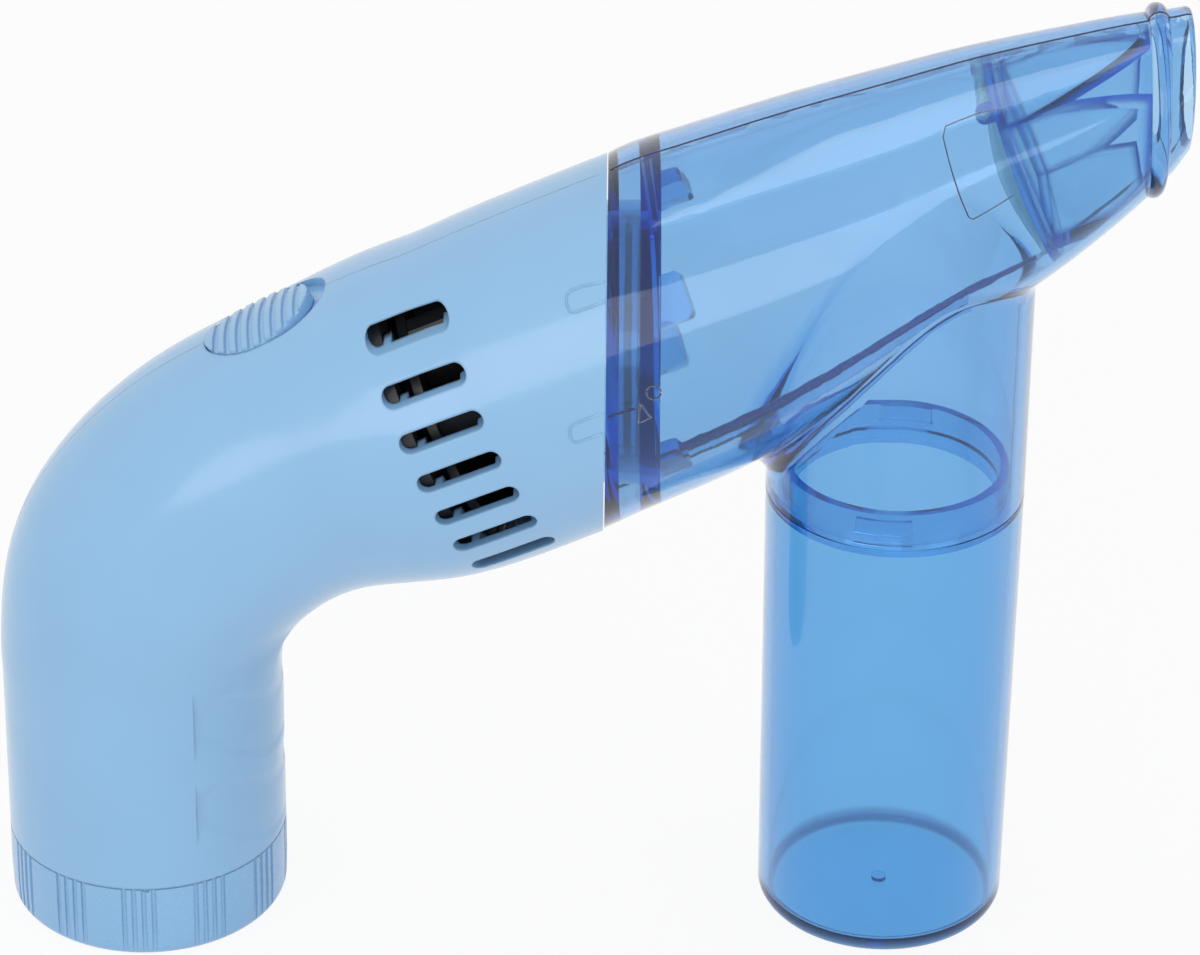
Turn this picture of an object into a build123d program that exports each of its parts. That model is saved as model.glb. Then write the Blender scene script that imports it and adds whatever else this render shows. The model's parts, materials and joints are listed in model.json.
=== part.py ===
from build123d import *
import math
import os

# Handheld vacuum with a bent battery handle, a clear nozzle and a clear catch bottle.
# Millimetres and degrees. The origin is the centre of the battery cap's foot, +X runs
# towards the nozzle mouth, +Z is up and the halves part on the plane Y = 0.

# Handle, bend and body of the casing: the centre line runs up the handle, round the
# bend and along the body's sloping axis, and the round section swells in three steps
handle_radius = 24.0
cap_height = 14.1
bend_start_z = 46.0
body_slope = 24.0
body_axis_z = 74.3
bend_points = ((4.6, 67.5), (16.4, 80.9), (32.0, 89.8))
neck_end = (48.9, 95.8)
bend_swell = 1.2
bend_swell_length = 22.0
flare_start = 49.5
flare_length = 29.0
flare_swell = 3.3
body_radius = 29.1
joint_x = 78.8
casing_station_step = 7.0
wall = 2.0
face_gap = 0.2
running_gap = 0.05
seat_gap = 0.1
front_wall = 3.3

# Finger dimples on the front of the handle
dimple_heights = (28.0, 45.0)
dimple_width = 12.0
dimple_depth = 0.75
dimple_front_depth = 0.2
dimple_reach = 65.0

# Vents, cut straight across the body
vent_count = 7
vent_run = 61.2
vent_length = 14.7
vent_height = 3.3
vent_pitch = 7.15
vent_top = 23.2

# Battery cells and their holder
cell_radius = 7.1
cell_length = 50.5
cell_pitch = 15.4
cell_clearance = 0.25
cell_foot_z = 6.6
holder_wall = 1.0
holder_flange_radius = 20.9
holder_flange = 2.0
contact_thickness = 0.4
contact_width = 5.0
holder_lift = 0.5
hub_radius = 2.0
disc_thickness = 1.6
disc_key = 1.1
disc_keys = 3

# Battery cap
cap_floor = 2.4
cap_lower_radius = 23.8
cap_edge = 2.0
cap_skirt = 1.5
cap_lugs = 3
rib_groups = 12
grooves_in_group = 4
groove_step_angle = 4.1
groove_width = 0.75
groove_depth = 0.3
neck_radius = 21.4
lug_reach = 0.9
lug_height = 2.0
lug_angle = 24.0

# Motor, fan and the plates that carry them
motor_radius = 13.85
motor_length = 30.0
motor_bell_length = 5.5
motor_boss_radius = 4.0
motor_boss_height = 1.6
shaft_radius = 1.15
motor_face_run = 54.0
mount_thickness = 2.0
mount_windows = 6
motor_screw_radius = 1.25
motor_screw_circle = 8.0
plate_gap = 0.25
plate_grip = 1.8
fan_radius = 22.4
fan_back = 1.6
fan_height = 8.0
fan_blades = 9
blade_thickness = 1.2
fan_hub_radius = 4.6
fan_start_gap = 1.8
fan_cover_thickness = 1.4
fan_cover_gap = 1.0
fan_eye_radius = 11.0
rib_thickness = 1.4

# Slide switch
slider_run = 57.2
slider_length = 19.7
slider_width = 15.4
slider_travel = 3.0
slider_ridges = 8
ridge_depth = 0.45
pocket_depth = 2.0
slider_float = 0.25
slider_proud = 0.45
stem_width = 4.0
lever_width = 2.2
switch_plate = 0.8
switch_plate_length = 19.0
switch_body_length = 13.0
switch_body_width = 6.8
switch_body_depth = 4.0
switch_shelf = 2.4

# Casing screws
screw_radius = 1.45
screw_head_radius = 2.7
screw_head_height = 1.9
screw_length = 14.0
boss_radius = 3.3

# Clear nozzle: distance ahead of the joint, rise of the centre, half height, half width
nozzle_stations = (
    (9.2, 4.5, 31.4, 29.1),
    (19.2, 8.9, 30.7, 28.7),
    (33.2, 15.6, 29.0, 27.5),
    (46.2, 22.6, 26.3, 25.3),
    (58.2, 29.1, 23.8, 22.4),
    (70.2, 35.1, 21.1, 19.6),
    (79.2, 40.1, 18.4, 17.4),
    (86.8, 44.7, 15.5, 15.1),
    (93.8, 50.0, 11.8, 11.8),
)
nozzle_wall = 2.0
mouth_edge = 0.8
bead_reach = 88.4
bead_rise = 45.9
bead_major = 14.2
bead_minor = 1.7

# Turning joint between the casing and the nozzle
spigot_radius = 23.6
spigot_wall = 1.7
spigot_length = 5.4
rear_plate = 2.2
nozzle_turn = 40.0
nozzle_lugs = 3
nozzle_lug_reach = 1.6
nozzle_lug_length = 1.8

# Filter in the back of the nozzle
filter_seat = 5.6
filter_seat_length = 3.3
filter_seat_lip = 1.6
filter_lip_length = 0.8
filter_rim = 1.4
filter_length = 7.4
filter_pad = 2.6
filter_spokes = 4
spoke_width = 1.6
stop_length = 6.3
stop_width = 8.0
stop_depth = 3.0
stop_angles = (36.0, -42.0)
stop_radius = 24.0
keel_height = 1.9
keel_width = 1.6
keel_end = 60.0

# Inlet duct and its flap
duct_wall = 1.3
duct_half_width = 12.0
duct_lean = 22.5
duct_reach = 62.6
duct_top_rise = 46.3
duct_bottom_rise = 24.6
duct_front_reach = 86.8
duct_front_top = 58.5
duct_front_bottom = 32.9
bulkhead = 1.5
flap_thickness = 0.8
flap_overlap = 0.9
flap_axis = 1.6
flap_rise = 1.6
flap_hinge_half = 7.6
pin_radius = 0.9
ear_thickness = 1.6

# Collar and bottle
collar_x = 127.8
collar_radius = 21.8
collar_top_z = 128.0
collar_fillet = 4.0
bottle_height = 82.5
bottle_foot_radius = 21.2
bottle_wall = 1.7
bottle_edge = 3.0
bottle_neck_radius = 19.1
bottle_neck_height = 5.6
bottle_lugs = 2
bottle_lug_reach = 0.6
bottle_lug_height = 2.6
bottle_lug_angle = 27.0
bottle_nub_radius = 1.3

slope = math.radians(body_slope)
joint_z = body_axis_z + joint_x * math.tan(slope)
far = 400.0


def smooth(share):
    """Rise from 0 to 1 with level ends."""
    held = min(max(share, 0.0), 1.0)
    return held * held * (3.0 - 2.0 * held)


def body_point(run, out=0.0, side=0.0):
    """Point at a run along the body's sloping axis, and out from it in the upper direction."""
    x = run * math.cos(slope) - out * math.sin(slope)
    z = body_axis_z + run * math.sin(slope) + out * math.cos(slope)
    return Vector(x, side, z)


def body_plane(run):
    """Plane square to the body's axis: local X is across the body, local Z runs forward."""
    forward = (math.cos(slope), 0, math.sin(slope))
    return Plane(origin=body_point(run), x_dir=(0, 1, 0), z_dir=forward)


last_run = joint_x / math.cos(slope) + body_radius * math.tan(slope) + 4.0
end_point = body_point(last_run)
line_points = [(0, 0, bend_start_z)] + [(x, 0, z) for x, z in bend_points + (neck_end,)]
centre_line = Spline(
    line_points + [end_point],
    tangents=[(0, 0, 1), (math.cos(slope), 0, math.sin(slope))],
)
line_length = centre_line.length


def casing_radius(run):
    """Outer radius of the casing at a run along the centre line from the bend's start."""
    swell = bend_swell * smooth(run / bend_swell_length)
    flare = flare_swell * smooth((run - flare_start) / flare_length)
    rest = body_radius - handle_radius - bend_swell - flare_swell
    return handle_radius + swell + flare + rest * smooth((run - flare_start - 8) / (1.5 * flare_length))


def body_radius_at(run):
    """Outer radius of the casing at a run along the body's sloping axis."""
    return casing_radius(run + line_length - last_run)


def casing_plane(run):
    """Plane square to the centre line at a run: local X is the upper side, local Z forward."""
    share = run / line_length
    forward = centre_line % share
    return Plane(origin=centre_line @ share, x_dir=(-forward.Z, 0, forward.X), z_dir=forward)


def casing_form(inset=0.0, foot_z=cap_height + face_gap / 2):
    """Whole casing as one closed form, from the cap to past the joint, made smaller by inset."""
    grip = Pos(0, 0, foot_z) * extrude(Circle(handle_radius - inset), bend_start_z - foot_z)
    steps = round(line_length / casing_station_step)
    sections = []
    for step in range(steps + 1):
        run = line_length * step / steps
        sections.append(casing_plane(run) * Circle(casing_radius(run) - inset))
    return grip + loft([section.face() for section in sections])


def box_between(low, high):
    """Box from its low corner to its high corner."""
    size = [high[i] - low[i] for i in range(3)]
    middle = [(high[i] + low[i]) / 2 for i in range(3)]
    return Pos(*middle) * Box(*size)


def ring(outer, inner, length):
    """Ring standing on the local XY plane."""
    return extrude(Circle(outer) - Circle(inner), length)


def sector(outer, inner, length, angle, middle):
    """Part of a ring: angle wide, centred on the direction middle, standing on local XY."""
    reach = outer * 2
    half = math.radians(angle / 2)
    wedge = Polyline(
        (0, 0), (reach * math.cos(half), -reach * math.sin(half)),
        (reach * math.cos(half), reach * math.sin(half)), (0, 0),
    )
    face = Rot(0, 0, middle) * make_face(wedge)
    return extrude((Circle(outer) - Circle(inner)) & face, length)


def half_space(side):
    """Everything on one side of the parting plane."""
    return box_between((-far, min(0, side * far), -far), (far, max(0, side * far), far))


def turn_frame(x):
    """Plane square to the nozzle's turning axis: local X is world Y, local Y is up."""
    return Plane(origin=(x, 0, joint_z), x_dir=(0, 1, 0), z_dir=(1, 0, 0))


def casing_top(run):
    """Point on the upper side of the casing at a run along the centre line."""
    plane = casing_plane(run)
    return plane.origin + plane.x_dir * casing_radius(run)


# Slide switch frame: local X along the travel, local Y across, local Z outward
travel_line = (casing_top(slider_run + 6) - casing_top(slider_run - 6)).normalized()
switch_frame = Plane(
    origin=casing_top(slider_run),
    x_dir=travel_line,
    z_dir=(-travel_line.Z, 0, travel_line.X),
)
pad_bottom = slider_float - pocket_depth
shelf_bottom = -pocket_depth - switch_shelf
plate_bottom = shelf_bottom - seat_gap - switch_plate


def oval(length, width):
    """Oval with the pad's outline."""
    return Ellipse(length / 2, width / 2)


def slider_pocket():
    """Pocket for the pad and its travel, open outward."""
    start = oval(slider_length + 2 * face_gap, slider_width + 2 * face_gap)
    outline = start + Pos(slider_travel, 0) * start + Pos(slider_travel / 2, 0) * Rectangle(
        slider_travel, slider_width + 2 * face_gap
    )
    return switch_frame * Pos(0, 0, -pocket_depth) * extrude(outline, 4 * pocket_depth)


def switch_holder():
    """Block under the pocket that holds the switch by its top plate."""
    depth = pocket_depth + switch_shelf + 2 * seat_gap + switch_plate + rib_thickness
    length = slider_length + slider_travel + 2 * wall
    block = box_between(
        (-slider_length / 2 - wall, -slider_width / 2 - wall, -depth),
        (-slider_length / 2 - wall + length, slider_width / 2 + wall, pocket_depth),
    )
    return switch_frame * block


def switch_room():
    """Room for the switch's plate and case, cut from the block and from the ribs below it."""
    seat = box_between(
        (-switch_plate_length / 2 - seat_gap, -switch_body_width / 2 - seat_gap, plate_bottom - seat_gap),
        (switch_plate_length / 2 + seat_gap, switch_body_width / 2 + seat_gap, shelf_bottom),
    )
    well = box_between(
        (-switch_body_length / 2 - seat_gap, -slider_width / 2, plate_bottom - 3 * switch_body_depth),
        (switch_body_length / 2 + seat_gap, slider_width / 2, plate_bottom),
    )
    return switch_frame * (seat + well)


def stem_slot():
    """Slot in the casing that the pad's stem runs in."""
    length = stem_width + slider_travel + 2 * face_gap
    return switch_frame * box_between(
        (-stem_width / 2 - face_gap, -stem_width / 2 - face_gap, shelf_bottom - 0.5),
        (-stem_width / 2 - face_gap + length, stem_width / 2 + face_gap, 0),
    )


def make_slider():
    """Ridged thumb pad with the stem that grips the switch lever."""
    prism = switch_frame * Pos(0, 0, pad_bottom) * extrude(oval(slider_length, slider_width), 8)
    pad = prism & casing_form(-slider_proud)
    spacing = slider_length / (slider_ridges + 1)
    crown = casing_radius(slider_run) + slider_proud
    for step in range(slider_ridges):
        place = spacing * (step + 1) - slider_length / 2
        band = Cylinder(crown + 4, spacing * 0.45) - Cylinder(crown - ridge_depth, spacing)
        groove = Rot(0, 90, 0) * band
        pad -= switch_frame * Pos(place, 0, slider_proud - crown) * groove
    stem = box_between(
        (-stem_width / 2, -stem_width / 2, shelf_bottom + face_gap),
        (stem_width / 2, stem_width / 2, pad_bottom + 0.2),
    )
    hole = box_between(
        (-lever_width / 2 - running_gap, -lever_width / 2 - running_gap, shelf_bottom - 1),
        (lever_width / 2 + running_gap, lever_width / 2 + running_gap, pad_bottom),
    )
    return pad + switch_frame * (stem - hole)


def make_switch_body():
    """Switch case with its top plate, slotted for the lever."""
    plate = box_between(
        (-switch_plate_length / 2, -switch_body_width / 2, plate_bottom),
        (switch_plate_length / 2, switch_body_width / 2, plate_bottom + switch_plate),
    )
    case = box_between(
        (-switch_body_length / 2, -switch_body_width / 2, plate_bottom - switch_body_depth),
        (switch_body_length / 2, switch_body_width / 2, plate_bottom),
    )
    slot = box_between(
        (-lever_width / 2 - face_gap, -lever_width / 2 - face_gap, plate_bottom - switch_body_depth / 2),
        (lever_width / 2 + slider_travel + face_gap, lever_width / 2 + face_gap, 0),
    )
    terminals = [
        Pos(step * switch_body_length / 3, 0, plate_bottom - switch_body_depth - 0.6) * Box(0.5, 1.8, 1.4)
        for step in (-1, 0, 1)
    ]
    return switch_frame * (plate + case - slot + terminals)


def make_switch_lever():
    """Lever of the switch, moved by the pad's stem."""
    return switch_frame * box_between(
        (-lever_width / 2, -lever_width / 2, plate_bottom - switch_body_depth / 2 + face_gap),
        (lever_width / 2, lever_width / 2, pad_bottom - face_gap),
    )


def screw_places():
    """Places of the casing screws, as world X and Z."""
    bend_middle = casing_plane(bend_swell_length * 1.75)
    rear_top = bend_middle.origin + bend_middle.x_dir * (casing_radius(bend_swell_length) - 8.0)
    rear_low = Vector(8.0, 0, bend_start_z + 22.4)
    front_low = body_point(motor_face_run - 12.0, -motor_radius - boss_radius - 2.4)
    front_run = motor_face_run - rib_thickness - boss_radius - 2.6
    front_top = body_point(front_run, motor_radius + boss_radius + 2.0)
    return [(place.X, place.Z) for place in (rear_top, rear_low, front_low, front_top)]


def across(place, low, high, radius):
    """Cylinder across the casing from low to high in Y."""
    plane = Plane(origin=(place[0], low, place[1]), x_dir=(1, 0, 0), z_dir=(0, 1, 0))
    return plane * extrude(Circle(radius), high - low)


screw_seat_y = 4.0
screw_tip_y = screw_seat_y - screw_length


def make_screws():
    """Casing screws as separate solids, put in from the +Y side."""
    screws = []
    for place in screw_places():
        shank = across(place, screw_tip_y, screw_seat_y + 0.1, screw_radius)
        head = across(place, screw_seat_y, screw_seat_y + screw_head_height, screw_head_radius)
        middle = screw_seat_y + screw_head_height
        for size in ((3.2, 1.6, 0.7), (0.7, 1.6, 3.2)):
            head -= Pos(place[0], middle, place[1]) * Box(*size)
        screws.append(shank + head)
    return Compound(children=screws)


def vents():
    """Slots cut straight through both sides of the body."""
    slots = []
    flat = Plane(origin=(0, 0, body_axis_z), x_dir=(math.cos(slope), 0, math.sin(slope)), z_dir=(0, -1, 0))
    for step in range(vent_count):
        out = vent_top - step * vent_pitch
        outline = flat * Pos(vent_run, out) * SlotOverall(vent_length, vent_height)
        slots.append(extrude(outline, far / 4, both=True))
    return slots


def finger_dimples():
    """Shallow hollows for the fingers, deepest where they end at the sides of the handle."""
    reach = math.radians(dimple_reach)
    shift = (dimple_depth - dimple_front_depth) / (1 - math.cos(reach))
    inner = handle_radius - dimple_front_depth - shift
    roll = (dimple_width**2 / 4 + dimple_depth**2) / (2 * dimple_depth)
    front = box_between((handle_radius * math.cos(reach), -far, -far), (far, far, far))
    cutters = []
    for height in dimple_heights:
        profile = Pos(inner + roll, 0) * Circle(roll)
        strip = Pos(inner + roll, 0) * Rectangle(2 * roll + 1, dimple_width * 1.4)
        lens = Plane.XZ * (profile & strip)
        cutters.append(Pos(shift, 0, height) * revolve(lens, Axis.Z) & front)
    return cutters


def plate_radius(run):
    """Radius of a plate that stands across the body at a run."""
    return body_radius_at(run) - wall - 0.5


def plate_groove_ribs(run, thickness):
    """Two ribs with a groove between them for a plate square to the body's axis."""
    radius = body_radius
    bore = plate_radius(run) - plate_grip
    rear = body_plane(run - plate_gap / 2 - rib_thickness) * ring(radius, bore, rib_thickness)
    front = body_plane(run + thickness + plate_gap / 2) * ring(radius, bore, rib_thickness)
    return [rear, front]


def holder_top_z():
    """Height of the top of the battery holder."""
    return cell_foot_z + cell_length + 2 * contact_thickness + 2 * holder_flange


def nozzle_lug_middles(turned=0.0):
    """Directions of the nozzle's lugs in the turning frame."""
    return [90.0 + 360.0 * step / nozzle_lugs + turned for step in range(nozzle_lugs)]


def make_casing():
    """Both casing halves as a pair, parted on Y = 0."""
    outer = casing_form()
    mid = casing_form(wall / 2)
    front = box_between((-far, -far, -far), (joint_x - face_gap / 2, far, far))
    cavity_front = box_between((-far, -far, -far), (joint_x - front_wall, far, far))
    shoulder = box_between((-far, -far, cap_height + 2.2), (far, far, far))
    shell = (outer & front) - (casing_form(wall) & cavity_front & shoulder)

    # Neck for the cap, with its lugs
    neck_foot = cap_floor + 1.0
    inner = holder_radius() + face_gap
    neck = Pos(0, 0, neck_foot) * ring(neck_radius, inner, cap_height + 2.2 - neck_foot)
    shell -= Pos(0, 0, cap_height - 1) * extrude(Circle(inner), 4.0)
    shell += neck
    shell -= disc_keyway(seat_gap)
    for step in range(cap_lugs):
        middle = 360 * step / cap_lugs
        lug = sector(neck_radius + lug_reach, neck_radius - 0.5, lug_height, lug_angle, middle)
        shell += Pos(0, 0, cap_lug_z()) * lug

    # Ribs and bosses inside, each run into the middle of the wall
    inner_parts = [switch_holder()]
    inner_parts += plate_groove_ribs(motor_face_run, mount_thickness)
    inner_parts += plate_groove_ribs(fan_cover_run(), fan_cover_thickness)
    flange_z = holder_top_z() - holder_flange
    flange_rib = ring(2 * handle_radius, holder_radius() + face_gap, rib_thickness)
    for low in (flange_z - plate_gap / 2 - rib_thickness, holder_top_z() + plate_gap / 2):
        inner_parts.append(Pos(0, 0, low) * flange_rib)
    cradle = ring(body_radius, motor_radius + face_gap, rib_thickness)
    inner_parts.append(body_plane(motor_face_run - motor_length + 4) * cradle)
    for place in screw_places():
        inner_parts.append(across(place, -2 * body_radius, 2 * body_radius, boss_radius))
    for part in inner_parts:
        shell += part & mid & cavity_front

    # Room for the motor, the screws, the pad and the air
    shell -= body_plane(motor_face_run - motor_length - motor_bell_length - 3) * extrude(
        Circle(motor_radius + face_gap), motor_length + motor_bell_length + 3
    )
    for place in screw_places():
        shell -= across(place, screw_tip_y - 1.0, screw_seat_y, screw_radius + running_gap)
        shell -= across(place, screw_seat_y, 2 * body_radius, screw_head_radius + face_gap)
    shell -= switch_room()
    shell -= slider_pocket()
    shell -= stem_slot()
    shell -= vents()
    shell -= finger_dimples()

    # Bore and passages for the nozzle's spigot and lugs
    mouth = turn_frame(joint_x - front_wall - 1)
    shell -= mouth * extrude(Circle(spigot_radius + running_gap), front_wall + 2)
    reach = spigot_radius + nozzle_lug_reach + face_gap
    for middle in nozzle_lug_middles(nozzle_turn):
        passage = sector(reach, spigot_radius - 1, front_wall + 2, lug_angle + 2, middle)
        shell -= mouth * passage
    return shell


def holder_radius():
    """Outer radius of the battery holder."""
    return cell_pitch / math.sqrt(2) + cell_radius + cell_clearance + holder_wall


def cap_lug_z():
    """Height of the foot of the neck's lugs."""
    return cap_floor + 1.6


def fan_start():
    """Run of the back face of the fan."""
    return motor_face_run + mount_thickness + fan_start_gap


def fan_cover_run():
    """Run of the back face of the fan cover."""
    return fan_start() + fan_back + fan_height + fan_cover_gap


def cell_places():
    """Centres of the four cells."""
    half = cell_pitch / 2
    return [(half, half), (-half, half), (-half, -half), (half, -half)]


def make_battery_holder():
    """Four-bore cell holder with a flange that the casing ribs grip."""
    foot = cell_foot_z - holder_lift
    top = holder_top_z()
    body = Pos(0, 0, foot) * extrude(Circle(holder_radius()), top - foot)
    flange = Pos(0, 0, top - holder_flange) * extrude(Circle(holder_flange_radius), holder_flange)
    bore_top = cell_foot_z + cell_length + 2 * contact_thickness
    holder = body + flange
    for x, y in cell_places():
        holder -= Pos(x, y, foot - 1) * extrude(Circle(cell_radius + cell_clearance), bore_top - foot + 1)
        holder -= Pos(x, y, bore_top - 1) * extrude(Circle(2.0), top)
        wide = Rot(0, 0, math.degrees(math.atan2(y, x))) * Pos(holder_radius(), 0)
        holder -= Pos(0, 0, (foot + bore_top) / 2) * wide * Box(2.6, 7.0, cell_length * 0.72)
    for side in (1, -1):
        strip = Pos(0, side * cell_pitch / 2, bore_top - contact_thickness)
        holder -= strip * Box(cell_pitch, contact_width + 2 * face_gap, 2 * contact_thickness)
    return holder - Pos(0, 0, foot - 1) * extrude(Circle(hub_radius + face_gap), bore_top - foot - 2)


def make_cell(x, y):
    """One round cell with its raised button."""
    can = Pos(x, y, cell_foot_z) * extrude(Circle(cell_radius), cell_length - 1.2)
    can = chamfer(can.edges().filter_by(GeomType.CIRCLE), 0.4)
    button = Pos(x, y, cell_foot_z + cell_length - 1.2) * extrude(Circle(2.7), 1.2)
    return can + button


def make_top_contacts():
    """Two bent strips over the cells, each joining one pair."""
    strips = []
    level = cell_foot_z + cell_length
    for side in (1, -1):
        strip = Pos(0, side * cell_pitch / 2, level + contact_thickness * 1.5)
        plate = strip * Box(cell_pitch * 0.86, contact_width, contact_thickness)
        dimples = [
            Pos(x, side * cell_pitch / 2, level + 0.05) * extrude(Circle(1.6), contact_thickness * 1.5)
            for x in (-cell_pitch / 2 + 1.2, cell_pitch / 2 - 1.2)
        ]
        strips.append(plate + dimples)
    return strips


def disc_top_z():
    """Height of the top of the contact disc."""
    return cell_foot_z - holder_lift - contact_thickness - running_gap


def disc_keyway(gap):
    """Keys round the contact disc, made larger by gap for the notches in the neck."""
    keys = []
    for step in range(disc_keys):
        key = sector(
            holder_radius() + disc_key + gap, holder_radius() - 2, disc_thickness + 2 * gap,
            14 + 4 * gap, 360 * step / disc_keys + 60,
        )
        keys.append(Pos(0, 0, disc_top_z() - disc_thickness - gap) * key)
    return keys


def make_contact_disc():
    """Insulating disc in the cap, keyed to the neck so that it doesn't turn."""
    disc = Pos(0, 0, disc_top_z() - disc_thickness) * extrude(Circle(holder_radius()), disc_thickness)
    disc += disc_keyway(0)
    return disc + Pos(0, 0, disc_top_z() - 0.2) * extrude(Circle(hub_radius), 2.4)


def make_bridge_contacts():
    """Two flat bridges on the disc, each with a raised tongue under two cells."""
    bridges = []
    level = disc_top_z()
    rise = cell_foot_z - seat_gap - level
    for side in (1, -1):
        plate = Pos(side * cell_pitch / 2, 0, level + contact_thickness / 2) * Box(
            contact_width, cell_pitch + 4.0, contact_thickness
        )
        tongues = [
            Pos(side * cell_pitch / 2, y, level + rise / 2) * Box(3.2, 3.2, rise)
            for y in (-cell_pitch / 2, cell_pitch / 2)
        ]
        bridges.append(plate + tongues)
    return bridges


def make_battery_cap():
    """Foot cap with ribbed side and ledges that catch the neck's lugs."""
    top = cap_height - face_gap / 2
    profile = make_face(Polyline(
        (0, 0), (cap_lower_radius, 0), (handle_radius, cap_height * 0.45),
        (handle_radius, top), (0, top), (0, 0),
    ))
    cap = revolve(Plane.XZ * profile, Axis.Z)
    cap = fillet(cap.edges().sort_by(Axis.Z)[0], cap_edge)
    cap -= Pos(0, 0, cap_floor) * extrude(Circle(handle_radius - cap_skirt), cap_height)
    for group in range(rib_groups):
        for step in range(grooves_in_group):
            angle = 360 * group / rib_groups + (step - (grooves_in_group - 1) / 2) * groove_step_angle
            groove = Pos(handle_radius + 1 - groove_depth, 0, top / 2 + 1.2) * Box(2.0, groove_width, top)
            cap -= Rot(0, 0, angle) * groove
    pip_height = disc_top_z() - disc_thickness - running_gap - cap_floor
    cap += Pos(0, 0, cap_floor) * extrude(Circle(hub_radius + 1.0), pip_height)
    ledge_z = cap_lug_z() + lug_height + seat_gap
    inner = neck_radius + running_gap
    for step in range(cap_lugs):
        ledge = sector(handle_radius - cap_skirt + 0.4, inner, 1.8, lug_angle + 2, 360 * step / cap_lugs)
        cap += Pos(0, 0, ledge_z) * ledge
    notch = Rot(0, 0, -90 + 3.0) * Pos(handle_radius, 0, top) * Box(1.2, 1.0, 0.9)
    return cap - notch


def make_motor_can():
    """Steel can of the motor, with its front boss and screw holes."""
    start = body_plane(motor_face_run - motor_length)
    can = start * extrude(Circle(motor_radius), motor_length - seat_gap)
    boss = body_plane(motor_face_run - seat_gap) * extrude(Circle(motor_boss_radius), motor_boss_height)
    can += boss
    can -= body_plane(motor_face_run - motor_length - 1) * extrude(
        Circle(shaft_radius + running_gap), motor_length + motor_boss_height + 2
    )
    for angle in (90, 270):
        hole = Rot(0, 0, angle) * Pos(motor_screw_circle, 0) * Circle(motor_screw_radius + running_gap)
        can -= body_plane(motor_face_run - 4.5) * extrude(hole, 6)
    for angle in (0, 180):
        vent = Rot(0, 0, angle) * Pos(motor_radius, 0, motor_length * 0.42) * Box(2.4, 7.0, 9.0)
        can -= start * vent
    return can


def make_motor_bell():
    """Plastic end bell of the motor, with the rear bearing and two terminals."""
    rear = motor_face_run - motor_length - motor_bell_length
    bell = body_plane(rear) * extrude(Circle(motor_radius - 0.5), motor_bell_length)
    hub = body_plane(rear - 2.0) * extrude(Circle(motor_boss_radius), 2.5)
    bell += hub
    bell -= body_plane(rear + 0.8) * extrude(Circle(shaft_radius + running_gap), motor_bell_length)
    for side in (-1, 1):
        tab = body_plane(rear - 3.4) * Pos(side * 8.4, 0, 2.0) * Box(0.6, 2.8, 4.4)
        bell += tab
    return bell


def make_motor_mount():
    """Plate that carries the motor and lets the air past between its spokes."""
    radius = plate_radius(motor_face_run)
    plate = extrude(Circle(radius) - Circle(motor_boss_radius + face_gap), mount_thickness)
    for step in range(mount_windows):
        angle = 360 * step / mount_windows + 30
        window = sector(radius - plate_grip - 1.6, motor_radius + 1.6, mount_thickness + 2, 34, angle)
        plate -= Pos(0, 0, -1) * window
    for angle in (90, 270):
        plate -= Pos(0, 0, -1) * Rot(0, 0, angle) * Pos(motor_screw_circle, 0) * extrude(
            Circle(motor_screw_radius + running_gap), mount_thickness + 2
        )
    return body_plane(motor_face_run) * plate


def make_motor_screws():
    """Two short screws through the mount into the motor."""
    screws = []
    for angle in (90, 270):
        place = Rot(0, 0, angle) * Pos(motor_screw_circle, 0, 0)
        shank = place * extrude(Circle(motor_screw_radius), mount_thickness + 4.0)
        head = place * Pos(0, 0, mount_thickness + 4.0) * extrude(Circle(2.1), 1.2)
        slot = place * Pos(0, 0, mount_thickness + 5.2) * Box(5, 0.6, 0.9)
        screws.append(body_plane(motor_face_run - 4.0) * (shank + head - slot))
    return screws


def make_shaft():
    """Motor shaft from the rear bearing to the fan's hub."""
    rear = motor_face_run - motor_length - motor_bell_length + 0.8 + face_gap
    front = fan_start() + fan_back + fan_height - 1.0
    return body_plane(rear) * extrude(Circle(shaft_radius), front - rear)


def make_fan():
    """Open centrifugal fan: back disc, hub and backward-swept blades."""
    disc = extrude(Circle(fan_radius), fan_back)
    hub = extrude(Circle(fan_hub_radius), fan_back + fan_height - 1.5)
    fan = disc + hub
    inner = fan_hub_radius + 3.2
    points = []
    for share in (0.0, 0.5, 1.0):
        reach = inner + (fan_radius + 1.0 - inner) * share
        angle = math.radians(-52.0 * share ** 1.2)
        points.append((reach * math.cos(angle), reach * math.sin(angle)))
    blade = extrude(trace(ThreePointArc(*points), blade_thickness), fan_height + 0.2)
    blade &= extrude(Circle(fan_radius - 0.3), fan_height + 0.2)
    for step in range(fan_blades):
        fan += Rot(0, 0, 360 * step / fan_blades) * Pos(0, 0, fan_back - 0.2) * blade
    fan -= Pos(0, 0, -1) * extrude(Circle(shaft_radius + running_gap / 2), fan_back + fan_height)
    return body_plane(fan_start()) * fan


def make_fan_cover():
    """Cover ahead of the fan, with its flared eye."""
    radius = plate_radius(fan_cover_run())
    cover = extrude(Circle(radius), fan_cover_thickness)
    lip = Pos(0, 0, 0) * ring(fan_eye_radius + 1.4, fan_eye_radius, fan_cover_thickness + 1.2)
    cover = cover + lip - Pos(0, 0, -1) * extrude(Circle(fan_eye_radius), fan_cover_thickness + 4)
    return body_plane(fan_cover_run()) * cover


def station_plane(reach, rise):
    """Upright plane ahead of the joint for a nozzle section."""
    return Plane(origin=(joint_x + reach, 0, joint_z + rise), x_dir=(0, 1, 0), z_dir=(1, 0, 0))


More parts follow.
